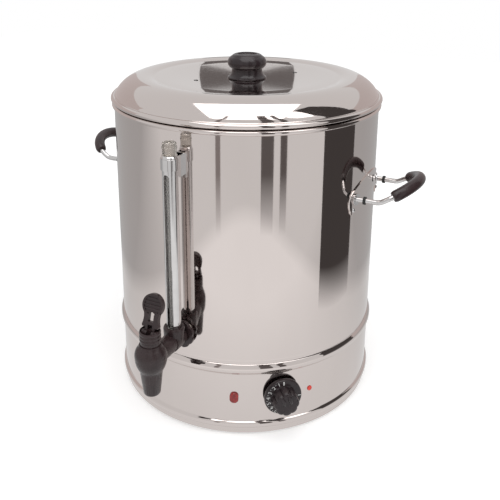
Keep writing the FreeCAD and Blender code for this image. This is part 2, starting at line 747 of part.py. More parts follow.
def handle_wire(side):
    startT, centreT, jointW, jointT = loop_joint()
    slope = math.radians(loopTilt)
    legEnd = legOut - startT
    rise = bendRadius * (1 - math.cos(slope / 2))
    runs = []
    for way in (1, -1):
        w = -footHalfSpan * way
        foot = Vector(bodyRadius - 6, w, handleHeight)
        knee = Vector(legEnd, w, handleHeight)
        middle = Vector(legEnd + bendRadius * math.sin(slope / 2), w, handleHeight + rise)
        leg = [
            Part.LineSegment(foot, knee).toShape(),
            Part.Arc(knee, middle, tilted(w, startT)).toShape(),
        ]
        centreW = (footHalfSpan - cornerRadius) * -way
        half = math.atan2(jointT - startT, -(jointW * way - centreW) * way) / 2
        corner = Part.Arc(
            tilted(w, startT),
            tilted(centreW - way * cornerRadius * math.cos(half), startT + cornerRadius * math.sin(half)),
            tilted(jointW * way, jointT),
        ).toShape()
        leg.append(corner)
        runs.append(leg)
    top = tilted(0, centreT + apexRadius)
    apex = Part.Arc(tilted(jointW, jointT), top, tilted(-jointW, jointT)).toShape()
    path = Part.Wire(Part.__sortEdges__(runs[0] + [apex] + runs[1]))
    start = Part.Wire([Part.makeCircle(wireRadius, path.OrderedVertexes[0].Point, across)])
    wire = path.makePipeShell([start], True, False)
    parts = [wire]
    for way in (-1, 1):
        azimuth = 90 + way * math.degrees(math.asin(footHalfSpan / bodyRadius))
        flange = rod(7.8, 4.2, Vector(0, -(bodyRadius - 1), handleHeight), out)
        parts.append(around(flange, azimuth))
    whole = union(parts)
    whole = whole.cut(rod(bodyRadius + 1.6, 200, Vector(0, 0, handleHeight - 100)))
    return around(whole, side)


def handle_grip(side):
    """Moulded sleeve on the loop's apex, with rounded ends."""
    startT, centreT, jointW, jointT = loop_joint()
    slope = math.radians(loopTilt)
    normal = Vector(-math.sin(slope), 0, math.cos(slope))
    reach = math.degrees(math.atan2(-jointW, jointT - centreT))
    centre = tilted(0, centreT)

    def sleeve(radius, spread):
        ring = Part.makeTorus(apexRadius, radius, origin, up, -180, 180, 2 * spread)
        ring.rotate(origin, up, -spread)
        ring.rotate(origin, inward, -loopTilt)
        ring.translate(centre)
        return ring

    grip = sleeve(gripRadius, reach)
    rims = [edge for edge in grip.Edges if abs(edge.Length - 2 * math.pi * gripRadius) < 0.5]
    grip = grip.makeFillet(2.0, rims)
    return around(grip.cut(sleeve(wireRadius + 0.05, reach + 2)), side)


def handle_ferrules(side):
    rings = []
    for way in (-1, 1):
        foot = Vector(bodyRadius + 5.6, way * footHalfSpan, handleHeight)
        rings.append(tube(5.0, wireRadius + 0.05, 3.0, foot, across))
    return around(group(rings), side)


def handle_plate(side):
    """Pressed backing plate, an arch between two lobes, rolled to the wall's radius."""
    face = section(
        (-51, 313),
        [
            ((0, 327), (51, 313)), ((57.5, 303), (55.5, 288)), ((49, 281), (42.5, 288)),
            ((38.5, 294.5), (30, 297)), ((0, 302), (-30, 297)), ((-38.5, 294.5), (-42.5, 288)),
            ((-49, 281), (-55.5, 288)), ((-57.5, 303), (-51, 313)),
        ],
        lambda w, z: Vector(150, w, z),
    )
    block = face.extrude(Vector(60, 0, 0))
    skin = tube(bodyRadius + 1.55, bodyRadius + 0.05, 80, Vector(0, 0, 265))
    plate = block.common(skin)
    for azimuth in handle_rivet_axes()[:2]:
        bore = around(rod(rivetRadius + 0.05, 12, Vector(0, -(bodyRadius - 4), rivetHeight), out), azimuth)
        plate = plate.cut(bore)
    return around(plate, side)


def handle_rivets(side):
    rivets = []
    for azimuth in handle_rivet_axes()[:2]:
        shank = rod(rivetRadius, 4.4, Vector(0, -(bodyRadius - 2), rivetHeight), out)
        ball = Part.makeSphere(3.4, Vector(0, -(bodyRadius + 0.2), rivetHeight))
        dome = ball.cut(rod(bodyRadius + 1.6, 20, Vector(0, 0, rivetHeight - 10)))
        tail = rod(2.9, 1.2, Vector(0, -(bodyRadius - 2.6), rivetHeight), out)
        rivets.append(around(union([shank, dome, tail]), azimuth))
    return around(group(rivets), side)


# Lid

def lid_shell():
    """Pressed lid: sunk middle, raised crest, round shoulder, rolled rim and locating lip."""
    flatRadius, diagonal = 27.0, math.sqrt(0.5)
    seat = rimTop + lidSeatGap
    wallR = bodyRadius - lidWallInset
    lip = bodyRadius - sheet - 1.2

    def press(inset):
        """Half outline of the lid's skin, from the middle out to the side wall."""
        crest, wall, top, low = lidCrestRadius, wallR - inset, lidCrest - inset, lidShoulder
        shoulderR = crest + (wall - crest) * diagonal * 1.06
        shoulderZ = low + (top - low) * diagonal * 1.04
        return [
            ((crest * 0.45, lidCentre + 1.0 - inset), (crest * 0.8, top - 0.6)),
            ((crest * 0.9, top - 0.1), (crest, top)),
            ((shoulderR, shoulderZ), (wall, low)),
        ]

    outer = press(0.0)
    inner = press(sheet)
    steps = [(flatRadius, lidCentre)] + outer
    steps += [
        (wallR, seat + 7.6), ((wallR + 5.9, seat + 4.0), (wallR + 1.0, seat)),
        (lip, seat), (lip, seat - lidLipDrop), (lip - sheet, seat - lidLipDrop),
        (lip - sheet, seat + 1.0), (wallR - sheet, seat + 3.0), (wallR - sheet, lidShoulder),
    ]
    starts = [(flatRadius, lidCentre - sheet)] + [end for middle, end in inner[:-1]]
    back = [(middle, start) for (middle, end), start in zip(inner, starts)]
    skin = turned((0, lidCentre), *steps, *reversed(back), (0, lidCentre - sheet))
    screw = rod(2.6, 10, Vector(0, 0, lidCentre - 5))
    vent = around(rod(2.2, 12, Vector(0, -ventReach, lidCentre - 5)), ventAzimuth)
    return skin.cut(group([screw, vent]))


def lid_knob():
    base = lidCentre + 0.05
    return turned(
        (2.3, base), (22.4, base), (22.8, base + 2.4), ((20.6, base + 8), (20.4, base + 12.6)),
        ((26.4, base + 22), (20.6, base + 30.6)), ((17, base + 32.8), (13.6, base + 33.2)),
        (12.6, base + 32.2), (0, base + 32.4), (0, base + 14), (2.3, base + 14),
    )


def lid_screw():
    low = lidCentre - sheet - 3.4
    head = turned((0, low), (3.0, low), ((5.0, low + 1.2), (5.2, low + 2.3)), (0, low + 2.3))
    return head.fuse(rod(2.25, 16, Vector(0, 0, low + 2.2)))


def lid_washer():
    return tube(9, 2.6, 1.0, Vector(0, 0, lidCentre - sheet - 1.05))


save(tank(), "tank")
save(base_skirt(), "base_skirt")
save(base_plate(), "base_plate")
save(base_screws(), "base_screws")
save(cover_brackets(), "cover_brackets")
save(rubber_feet(), "rubber_feet")
save(heating_element(), "heating_element")
save(element_nuts(), "element_nuts")
save(element_seals(), "element_seals")
save(thermostat(), "thermostat")
save(thermostat_nut(), "thermostat_nut")
save(sensor_bulb(), "sensor_bulb")
save(boil_dry_cutout(), "boil_dry_cutout")
save(terminal_block(), "terminal_block")
save(earth_stud(), "earth_stud")
save(cable_gland(), "cable_gland")
save(lamp_lens(), "lamp_lens")
save(lamp_body(), "lamp_body")
save(pointer_dot(), "pointer_dot")
save(dial_knob(), "dial_knob")
save(dial_shaft(), "dial_shaft")
save(tap_body(), "tap_body")
save(lobed_nut(18.4, 4.8, -(bodyRadius + 2.1)), "tap_outer_nut")
save(lobed_nut(17.0, 7.0, -(bodyRadius - 12.4)), "tap_inner_nut")
save(tap_washers(True), "tap_outer_washer")
save(tap_washers(False), "tap_inner_washer")
save(tap_bonnet(), "tap_bonnet")
save(lever_pin(), "lever_pin")
save(valve_stem(), "valve_stem")
save(seat_cup(), "seat_cup")
save(valve_spring(), "valve_spring")
save(tap_lever(), "tap_lever")
save(gauge_glass(), "gauge_glass")
save(gauge_guard(), "gauge_guard")
save(gauge_seal(), "gauge_seal")
save(gauge_cap(), "gauge_cap")
save(gauge_clip(), "gauge_clip")
for name, side in (("right", 0), ("left", 180)):
    save(handle_wire(side), "handle_wire_" + name)
    save(handle_grip(side), "handle_grip_" + name)
    save(handle_ferrules(side), "handle_ferrules_" + name)
    save(handle_plate(side), "handle_plate_" + name)
    save(handle_rivets(side), "handle_rivets_" + name)
save(lid_shell(), "lid_shell")
save(lid_knob(), "lid_knob")
save(lid_screw(), "lid_screw")
save(lid_washer(), "lid_washer")
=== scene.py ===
import bmesh
import bpy
import math
import numpy as np
from mathutils import Matrix, Vector


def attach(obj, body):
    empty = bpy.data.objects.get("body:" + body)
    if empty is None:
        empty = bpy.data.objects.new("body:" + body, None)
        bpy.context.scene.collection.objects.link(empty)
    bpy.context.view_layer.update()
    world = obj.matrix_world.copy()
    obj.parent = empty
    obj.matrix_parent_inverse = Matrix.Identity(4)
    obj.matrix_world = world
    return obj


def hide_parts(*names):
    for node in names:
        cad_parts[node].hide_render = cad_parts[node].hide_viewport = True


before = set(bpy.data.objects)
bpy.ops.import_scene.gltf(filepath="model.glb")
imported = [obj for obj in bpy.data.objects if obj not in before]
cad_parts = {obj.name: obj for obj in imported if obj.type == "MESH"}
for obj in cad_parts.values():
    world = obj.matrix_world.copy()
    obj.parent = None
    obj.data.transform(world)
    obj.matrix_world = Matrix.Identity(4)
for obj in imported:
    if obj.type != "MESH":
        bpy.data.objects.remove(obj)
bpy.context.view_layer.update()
scene = bpy.context.scene
scene.view_settings.view_transform = "Standard"
mm = 0.001
bodyRadius = 180.0      # of the vessel's wall, in millimetres, as all sizes of the pieces are


# New object for a mesh, a camera or a lamp, at the origin, unturned and unscaled.
def newObject(name, data):
    item = bpy.data.objects.new(name, data)
    scene.collection.objects.link(item)
    return item


# Camera: the photograph's viewpoint, 26 degrees to the right of the tap

cameraSet = {
    "azimuth": 26.02,      # degrees to the right of the tap
    "distance": 5.171,     # from the axis, in body radii
    "height": 3.415,       # above the table, in body radii
    "focal": 689.2,        # pixels
    "picture": 500,        # width of the picture in the same pixels
    "sensor": 36,          # millimetres
    "pitch": 0.2821,       # radians downwards
    "yaw": 0.0051,         # radians to the right of the axis
    "roll": 0.0069,        # radians
    "shift": -0.22,        # in picture widths
    "farthest": 50,        # metres
}


def makeCamera(v):
    data = bpy.data.cameras.new("camera")
    data.sensor_width = v["sensor"]
    data.lens = v["focal"] / v["picture"] * v["sensor"]
    data.shift_y = v["shift"]
    data.clip_end = v["farthest"]
    eye = newObject("camera", data)
    turn = math.radians(v["azimuth"])
    unit = bodyRadius * mm
    reach = v["distance"] * unit
    eye.location = (math.sin(turn) * reach, -math.cos(turn) * reach, v["height"] * unit)
    look = (Matrix.Rotation(turn - v["yaw"], 4, "Z")
            @ Matrix.Rotation(math.pi / 2 - v["pitch"], 4, "X")
            @ Matrix.Rotation(v["roll"], 4, "Z"))
    eye.rotation_euler = look.to_euler()
    scene.camera = eye


makeCamera(cameraSet)
print("camera ready")


# Shapes: outlines, turned surfaces and tubes along a path, worked out with numpy

# Points on the circle through three flat points, evenly spaced from start to end. The circle's
# centre is as far from each of the three.
def arcThrough(start, middle, end, count):
    a, b, c = (np.array(p, float) for p in (start, middle, end))
    d = 2 * (a[0] * (b[1] - c[1]) + b[0] * (c[1] - a[1]) + c[0] * (a[1] - b[1]))
    sa, sb, sc = a @ a, b @ b, c @ c
    centre = np.array([sa * (b[1] - c[1]) + sb * (c[1] - a[1]) + sc * (a[1] - b[1]),
                       sa * (c[0] - b[0]) + sb * (a[0] - c[0]) + sc * (b[0] - a[0])]) / d
    t0, t1, t2 = (math.atan2(p[1] - centre[1], p[0] - centre[0]) for p in (a, b, c))
    full = (t2 - t0) % (2 * math.pi)
    if (t1 - t0) % (2 * math.pi) > full:
        full -= 2 * math.pi
    angle = t0 + full * np.linspace(0, 1, count + 1)[1:]
    radius = np.linalg.norm(a - centre)
    return centre + radius * np.column_stack([np.cos(angle), np.sin(angle)])


# Flat outline in millimetres. A step is an end, or a middle and an end for an arc. A long straight
# run has a point close to each end, so that its shading stays flat. The small numbers in the
# pieces' outlines are offsets from their named sizes.
def outline(start, *steps, arcCount=12):
    guard = 1.2
    points = [np.array([start], float)]
    for step in steps:
        here = points[-1][-1]
        if isinstance(step[0], tuple):
            points.append(arcThrough(here, step[0], step[1], arcCount))
            continue
        end = np.array(step, float)
        length = np.linalg.norm(end - here)
        share = [1.0] if length < 3 * guard else [guard / length, 0.5, 1 - guard / length, 1.0]
        points.append(here + np.outer(share, end - here))
    return np.vstack(points)


# Smooth shading, broken at edges that turn by more than the given degrees.
def shadeSmooth(mesh, sharp):
    mesh.polygons.foreach_set("use_smooth", np.ones(len(mesh.polygons), bool))
    mesh.set_sharp_from_angle(angle=math.radians(sharp))


# A piece from arrays of corners in millimetres and faces. Doubles are merged, normals face out.
def surfacePiece(name, vertices, faces, sharp):
    mesh = bpy.data.meshes.new(name)
    mesh.from_pydata((vertices * mm).tolist(), [], faces.tolist())
    shape = bmesh.new()
    shape.from_mesh(mesh)
    bmesh.ops.remove_doubles(shape, verts=shape.verts, dist=1e-6)
    bmesh.ops.dissolve_degenerate(shape, edges=shape.edges, dist=1e-7)
    bmesh.ops.recalc_face_normals(shape, faces=shape.faces)
    shape.to_mesh(mesh)
    shape.free()
    shadeSmooth(mesh, sharp)
    return newObject(name, mesh)


# Quads of a grid of corners, wrapped round in either direction.
def gridFaces(rows, columns, closeRows, closeColumns):
    i = np.arange(rows if closeRows else rows - 1)
    j = np.arange(columns if closeColumns else columns - 1)
    i, j = (a.ravel() for a in np.meshgrid(i, j, indexing="ij"))
    iNext, jNext = (i + 1) % rows, (j + 1) % columns
    return np.column_stack([i * columns + j, i * columns + jNext,
                            iNext * columns + jNext, iNext * columns + j])


# Surface of revolution: each profile point (radius, height) is carried round a vertical axis.
def turnedPiece(name, profile, axis=(0, 0), segments=288, closed=True, sharp=32.0):
    angle = np.linspace(0, 2 * math.pi, segments, endpoint=False)
    r, z = profile[:, 0][:, None], profile[:, 1][:, None]
    grid = np.stack([axis[0] + r * np.cos(angle), axis[1] + r * np.sin(angle), z + 0 * angle],
                    axis=-1)
    faces = gridFaces(len(profile), segments, closed, True)
    return surfacePiece(name, grid.reshape(-1, 3), faces, sharp)


# Two normals at each point of a path. The first is square to a leaning upright, and each next one
# is the last less its part along the path, so that they don't twist.
def normalsAlong(path):
    tangent = np.gradient(path, axis=0)
    tangent /= np.linalg.norm(tangent, axis=1)[:, None]
    side = np.zeros_like(path)
    start = np.cross(tangent[0], [0.0, 0.3, 1.0])
    side[0] = start / np.linalg.norm(start)
    for k in range(1, len(path)):
        carried = side[k - 1] - (side[k - 1] @ tangent[k]) * tangent[k]
        side[k] = carried / np.linalg.norm(carried)
    return side, np.cross(tangent, side)


# Round tube: a circle of the given radius at each path point, with its ends closed.
def tubePiece(name, path, radius, sides):
    radius = np.broadcast_to(np.asarray(radius, float), (len(path),))
    side, other = normalsAlong(path)
    angle = np.linspace(0, 2 * math.pi, sides, endpoint=False)
    ring = (np.cos(angle)[None, :, None] * side[:, None, :]
            + np.sin(angle)[None, :, None] * other[:, None, :])
    grid = path[:, None, :] + radius[:, None, None] * ring
    first, last = path[:1, None, :] + 0 * grid[:1], path[-1:, None, :] + 0 * grid[:1]
    grid = np.concatenate([first, grid, last])
    faces = gridFaces(len(grid), sides, False, True)
    return surfacePiece(name, grid.reshape(-1, 3), faces, 40.0)


# A merged, smooth-shaded copy of a CAD node that stands for it, with softened edges.
def refined(name, node, sharp, bevel=0.0):
    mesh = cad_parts[node].data.copy()
    mesh.name = name
    mesh.materials.clear()
    shape = bmesh.new()
    shape.from_mesh(mesh)
    bmesh.ops.remove_doubles(shape, verts=shape.verts, dist=2e-6)
    bmesh.ops.dissolve_limit(shape, angle_limit=math.radians(0.6), verts=shape.verts,
                             edges=shape.edges)
    shape.to_mesh(mesh)
    shape.free()
    shadeSmooth(mesh, sharp)
    piece = newObject(name, mesh)
    if bevel:
        soften = piece.modifiers.new("soften", "BEVEL")
        soften.width = bevel * mm
        soften.segments = 2
        soften.limit_method = "ANGLE"
        soften.angle_limit = math.radians(sharp)
        soften.harden_normals = True
    return piece


# Finishes

# Material whose constant values are on the shader's own sockets.
def newFinish(name, colour, roughness, metallic=0.0, **sockets):
    material = bpy.data.materials.new(name)
    material.use_nodes = True
    shader = material.node_tree.nodes["Principled BSDF"]
    shader.inputs["Base Color"].default_value = (*colour, 1)
    shader.inputs["Metallic"].default_value = metallic
    shader.inputs["Roughness"].default_value = roughness
    for socket, value in sockets.items():
        shader.inputs[socket.replace("_", " ")].default_value = value
    return material


# New node, with its sockets or settings given by name.
def addNode(material, kind, **values):
    node = material.node_tree.nodes.new(kind)
    for key, value in values.items():
        if key in node.inputs:
            node.inputs[key].default_value = value
        else:
            setattr(node, key, value)
    return node


def intoShader(material, output, socket):
    shader = material.node_tree.nodes["Principled BSDF"]
    material.node_tree.links.new(output, shader.inputs[socket])


# Value carried evenly from one range over to another, and held at its ends.
def mapRange(material, value, fromMin, fromMax, toMin, toMax):
    ramp = addNode(material, "ShaderNodeMapRange", **{"From Min": fromMin, "From Max": fromMax,
                                                      "To Min": toMin, "To Max": toMax})
    material.node_tree.links.new(value, ramp.inputs["Value"])
    return ramp.outputs["Result"]


# Noise on the piece's own coordinates, stretched along its axes.
def objectNoise(material, scale, detail, stretch=(1, 1, 1)):
    links = material.node_tree.links
    place = addNode(material, "ShaderNodeTexCoord")
    mapping = addNode(material, "ShaderNodeMapping", Scale=stretch)
    noise = addNode(material, "ShaderNodeTexNoise", Scale=scale, Detail=detail)
    links.new(place.outputs["Object"], mapping.inputs["Vector"])
    links.new(mapping.outputs["Vector"], noise.inputs["Vector"])
    return noise


noiseRange = (0.3, 0.7)      # part of the noise's range that is spread over the two given values


def varyRoughness(material, noise, low, high):
    level = mapRange(material, noise.outputs["Fac"], *noiseRange, low, high)
    intoShader(material, level, "Roughness")


def varyColour(material, noise, dark, light):
    ramp = addNode(material, "ShaderNodeValToRGB")
    for index, colour in enumerate((dark, light)):
        ramp.color_ramp.elements[index].position = noiseRange[index]
        ramp.color_ramp.elements[index].color = (*colour, 1)
    material.node_tree.links.new(noise.outputs["Fac"], ramp.inputs["Fac"])
    intoShader(material, ramp.outputs["Color"], "Base Color")


def addBump(material, noise, strength, depth):
    bump = addNode(material, "ShaderNodeBump", Strength=strength, Distance=depth)
    material.node_tree.links.new(noise.outputs["Fac"], bump.inputs["Height"])
    intoShader(material, bump.outputs["Normal"], "Normal")


# Colour times a factor, kept within white.
def shade(colour, factor):
    return tuple(min(1, c * factor) for c in colour)


steelTint = (0.69, 0.625, 0.60)


# Mirror-polished sheet: faint vertical polishing haze and slow waviness.
def polishedSteel():
    material = newFinish("polishedSteel", steelTint, metallic=1.0, roughness=0.04)
    haze = objectNoise(material, scale=14, detail=4, stretch=(1, 1, 0.25))
    varyRoughness(material, haze, 0.025, 0.07)
    varyColour(material, haze, (0.675, 0.61, 0.585), (0.705, 0.64, 0.615))
    waves = objectNoise(material, scale=9, detail=1, stretch=(1, 1, 0.5))
    addBump(material, waves, strength=0.12, depth=0.0009)
    return material


# Lid sheet, polished in rings round its middle.
def spunSteel():
    material = newFinish("spunSteel", steelTint, metallic=1.0, roughness=0.05)
    place = addNode(material, "ShaderNodeTexCoord")
    rings = addNode(material, "ShaderNodeTexWave", wave_type="RINGS", rings_direction="Z",
                    Scale=260, Distortion=1.2, Detail=2)
    material.node_tree.links.new(place.outputs["Object"], rings.inputs["Vector"])
    varyRoughness(material, rings, 0.03, 0.075)
    waves = objectNoise(material, scale=8, detail=1)
    addBump(material, waves, strength=0.10, depth=0.0008)
    return material


# Plain metal with a fine grain, short upwards and long across.
def brushedSteel(name, colour):
    material = newFinish(name, colour, metallic=1.0, roughness=0.3)
    grain = objectNoise(material, scale=900, detail=2, stretch=(1, 1, 30))
    varyRoughness(material, grain, 0.2, 0.42)
    addBump(material, grain, strength=0.08, depth=0.0002)
    return material


# Unpolished inner face of the tank: a matt, cloudy grey.
def satinSteel():
    material = newFinish("satinSteel", (0.52, 0.50, 0.48), metallic=0.55, roughness=0.45)
    cloud = objectNoise(material, scale=22, detail=4, stretch=(1, 1, 0.4))
    varyRoughness(material, cloud, 0.38, 0.55)
    varyColour(material, cloud, (0.47, 0.45, 0.43), (0.57, 0.55, 0.53))
    return material


def chromePlate():
    material = newFinish("chromePlate", (0.66, 0.645, 0.64), metallic=1.0, roughness=0.05)
    haze = objectNoise(material, scale=60, detail=3)
    varyRoughness(material, haze, 0.03, 0.09)
    varyColour(material, haze, (0.63, 0.615, 0.61), (0.69, 0.675, 0.67))
    return material


# Moulded plastic: fine grain, a gloss between two roughnesses and slight patches of wear.
def mouldedPlastic(name, colour, low, high, grain=0.12):
    material = newFinish(name, colour, roughness=0.32, Specular_IOR_Level=0.4)
    patches = objectNoise(material, scale=55, detail=3)
    varyRoughness(material, patches, low, high)
    varyColour(material, patches, shade(colour, 0.82), shade(colour, 1.25))
    addBump(material, objectNoise(material, scale=1400, detail=2), strength=grain, depth=0.00012)
    return material


# Matt rubber with a thin, paler dust.
def softRubber(name, colour):
    material = newFinish(name, colour, roughness=0.7)
    dust = objectNoise(material, scale=120, detail=4)
    varyRoughness(material, dust, 0.55, 0.85)
    varyColour(material, dust, colour, tuple(c * 1.6 + 0.005 for c in colour))
    addBump(material, dust, strength=0.3, depth=0.0003)
    return material


def clearPiece(name, colour, roughness, clearness):
    material = newFinish(name, colour, roughness, Transmission_Weight=clearness, IOR=1.48)
    marks = objectNoise(material, scale=200, detail=2)
    varyRoughness(material, marks, roughness, roughness + 0.08)
    return material


def redLens(name, colour):
    material = newFinish(name, colour, roughness=0.18, Coat_Weight=0.2, Coat_Roughness=0.08)
    cloud = objectNoise(material, scale=260, detail=3)
    varyRoughness(material, cloud, 0.12, 0.25)
    varyColour(material, cloud, shade(colour, 0.7), shade(colour, 1.35))
    return material


def castMetal(name, colour):
    material = newFinish(name, colour, metallic=1.0, roughness=0.35)
    patches = objectNoise(material, scale=90, detail=4)
    varyRoughness(material, patches, 0.25, 0.5)
    varyColour(material, patches, shade(colour, 0.75), colour)
    return material


finishes = {
    "mirror": polishedSteel(),
    "lid": spunSteel(),
    "brushed": brushedSteel("brushedSteel", (0.56, 0.55, 0.53)),
    "darkSteel": brushedSteel("elementSteel", (0.30, 0.28, 0.26)),
    "inside": satinSteel(),
    "chrome": chromePlate(),
    "black": mouldedPlastic("blackPlastic", (0.036, 0.022, 0.023), 0.2, 0.33),
    "glossBlack": mouldedPlastic("knobPlastic", (0.026, 0.018, 0.020), 0.14, 0.25, grain=0.08),
    "rubber": softRubber("softRubber", (0.02, 0.02, 0.02)),
    "silicone": softRubber("silicone", (0.6, 0.58, 0.54)),
    "glass": clearPiece("clearTube", (0.82, 0.79, 0.76), 0.06, 0.72),
    "clearPlastic": clearPiece("clearPlastic", (0.68, 0.64, 0.59), 0.1, 0.85),
    "lampRed": redLens("lampRed", (0.30, 0.022, 0.02)),
    "dotRed": redLens("dotRed", (0.88, 0.05, 0.03)),
    "brass": castMetal("brass", (0.66, 0.50, 0.25)),
    "copper": castMetal("copper", (0.68, 0.38, 0.25)),
    "whitePlastic": mouldedPlastic("whitePlastic", (0.72, 0.70, 0.66), 0.4, 0.55),
    "print": mouldedPlastic("whitePrint", (0.80, 0.80, 0.78), 0.42, 0.58, grain=0.05),
}


# Gives a piece its finish and its body, and hides the CAD nodes that it stands for.
def finishPiece(piece, finish, body, *nodes, slot=None):
    piece.data.materials.clear()
    piece.data.materials.append(finishes[finish])
    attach(piece, body)
    if nodes:
        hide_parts(*nodes)


print("finishes ready")


# Vessel and base

vessel = {
    "sheet": 1.0,          # thickness of the sheet
    "footGap": 3.0,        # height of the skirt's hem above the table
    "ridge": 16.0,         # height of the foot ridge's middle
    "ridgeBulge": 3.2,
    "seamBottom": 90.0,    # bead over the seam between skirt and vessel
    "seamTop": 104.0,
    "beadBulge": 3.6,
    "floor": 116.0,        # underside of the vessel's floor
    "rimTop": 407.7,
    "rimBulge": 3.2,
}


# Drawn vessel: outer wall, rolled rim, inner wall and the rounded floor in one closed outline.
# The faces within its wall and above its floor are left unpolished.
def makeTank(v):
    r, t, top, floor = bodyRadius, v["sheet"], v["rimTop"], v["floor"]
    seam = v["seamTop"] + 0.3
    profile = outline(
        (0, floor), (r - 9, floor), ((r - 4.4, floor - 0.6), (r - t, seam)),
        (r, seam), (r, top - 6.5), ((r + v["rimBulge"], top - 3.2), (r, top)),
        (r - t, top - 1.2), (r - t, floor + 8), ((r - 3.4, floor + 3.0), (r - 9, floor + t)),
        (0, floor + t),
    )
    piece = turnedPiece("tankWall", profile, closed=False)
    finishPiece(piece, "mirror", "urn", "tank", slot="polished_steel")
    piece.data.materials.append(finishes["inside"])
    polygons = piece.data.polygons
    centre = np.empty(len(polygons) * 3, np.float32)
    polygons.foreach_get("center", centre)
    x, y, z = centre.reshape(-1, 3).T
    inside = (np.hypot(x, y) < (r - t * 0.9) * mm) & (z > (floor + t * 0.5) * mm)
    polygons.foreach_set("material_index", inside.astype(np.int32))


# Rolled base skirt with the foot ridge and the seam bead pressed out of it.
def makeSkirt(v):
    r, t, low, bottom, top = bodyRadius, v["sheet"], v["footGap"], v["seamBottom"], v["seamTop"]
    middle = (bottom + top) / 2
    ridge, bulge, bead = v["ridge"], v["ridgeBulge"], v["beadBulge"]
    profile = outline(
        (r - 3.6, low), (r - 0.6, low), ((r - 0.1, low + 0.3), (r, low + 1)),
        (r, ridge - 5.4), ((r + 0.3, ridge - 4.8), (r + 0.9, ridge - 4.2)),
        ((r + bulge, ridge), (r + 0.9, ridge + 4.2)),
        ((r + 0.3, ridge + 4.8), (r, ridge + 5.4)),
        (r, bottom - 0.6), ((r + 0.4, bottom + 0.2), (r + 1.2, bottom + 1.2)),
        ((r + bead, middle), (r + 1.2, top - 1.2)), ((r + 0.4, top - 0.2), (r, top)),
        # lap inside the vessel's foot, then the inner face back down
        (r - 1.2, top), (r - 1.3, top + 7), (r - 2.3, top + 7),
        (r - 2.3, top - 1), (r - t, top - 1.5),
        ((r + bead - t, middle), (r - t, bottom + 1)), (r - t, ridge + 4),
        ((r + bulge - t, ridge), (r - t, ridge - 4)), (r - t, low + 1.2), (r - 3.6, low + 1.2),
    )
    piece = turnedPiece("baseSkirt", profile)
    finishPiece(piece, "mirror", "urn", "base_skirt", slot="polished_steel")


makeTank(vessel)
makeSkirt(vessel)
print("vessel ready")


# Lid

lidSet = {
    "sheet": 1.0,
    "middle": 434.0,         # height of the sunk middle
    "flatRadius": 27.0,      # flat under the knob
    "crest": 437.5,
    "crestRadius": 126.0,
    "wallRadius": 178.4,
    "shoulder": 418.0,       # height at which the top turns into the wall
    "seat": 408.9,           # underside of the rolled rim
    "plugRadius": 177.8,     # ring that fits into the vessel's mouth
    "plugDepth": 9.0,
    "arcCount": 20,
    "knobLift": 0.05,
    "knobFoot": 26.4,        # radii of the knob's foot, waist and ball
    "knobWaist": 20.9,
    "knobBall": 26.5,
    "ventReach": 74.0,       # from the axis
    "ventRaise": 1.9,        # top of the lid there, above its middle
    "ventRadius": 3.0,
    "vents": {"steamHole": -40.0, "steamHoleFar": 140.0},      # degrees from the tap
}


# Pressed lid: the outline runs out over the sunk middle and crest, down the shoulder,
# round the rolled rim and back up inside.
def makeLid(v):
    diagonal = math.sqrt(0.5)
    wall, low, seat, t = v["wallRadius"], v["shoulder"], v["seat"], v["sheet"]
    plug, deep = v["plugRadius"], v["seat"] - v["plugDepth"]

    # Three arcs of the top, as a middle and an end for each, moved in by the given distance.
    def press(inset):
        side, top, crest = wall - inset, v["crest"] - inset, v["crestRadius"]
        halfway = (crest + (side - crest) * diagonal * 1.06, low + (top - low) * diagonal * 1.04)
        return [
            ((crest * 0.45, v["middle"] + 1.0 - inset), (crest * 0.8, v["crest"] - 0.6 - inset)),
            ((crest * 0.9, v["crest"] - 0.1 - inset), (crest, top)),
            (halfway, (side, low)),
        ]

    outer, inner = press(0.0), press(t)
    steps = [(v["flatRadius"], v["middle"])] + outer + [
        (wall, seat + 7.8), ((wall + 0.3, seat + 7.2), (wall + 1.2, seat + 6.8)),
        ((wall + 5.9, seat + 3.6), (wall + 1.6, seat + 0.1)), (wall + 0.4, seat),
        (plug, seat), (plug, deep), (plug - t, deep), (plug - t, seat + 1),
        (wall - t, seat + 3), (wall - t, low),
    ]
    # inner arcs read backwards, each from its end to its start
    starts = [(v["flatRadius"], v["middle"] - t)] + [step[1] for step in inner[:-1]]
    steps += [(step[0], start) for step, start in zip(inner[::-1], starts[::-1])]
    steps.append((0, v["middle"] - t))
    profile = outline((0, v["middle"]), *steps, arcCount=v["arcCount"])
    finishPiece(turnedPiece("lidShell", profile, closed=False), "lid", "lid", "lid_shell",
                slot="polished_steel")


# Dark mouth of the steam hole: a thin ring with a sunk floor, set in the lid's top. The lid has no
# hole there: the black floor is painted shade that stands in for the dark inside of the hole.
def makeVent(v, name, azimuth):
    turn = math.radians(azimuth)
    centre = (v["ventReach"] * math.sin(turn), -v["ventReach"] * math.cos(turn))
    top, r = v["middle"] + v["ventRaise"], v["ventRadius"]
    profile = outline((0, top - 1.2), (r - 1.0, top - 1.2), (r - 0.7, top + 0.1),
                      (r - 0.1, top + 0.15), (r, top - 0.4), (0, top - 1.6))
    finishPiece(turnedPiece(name, profile, centre, 32, closed=False), "rubber", "lid")


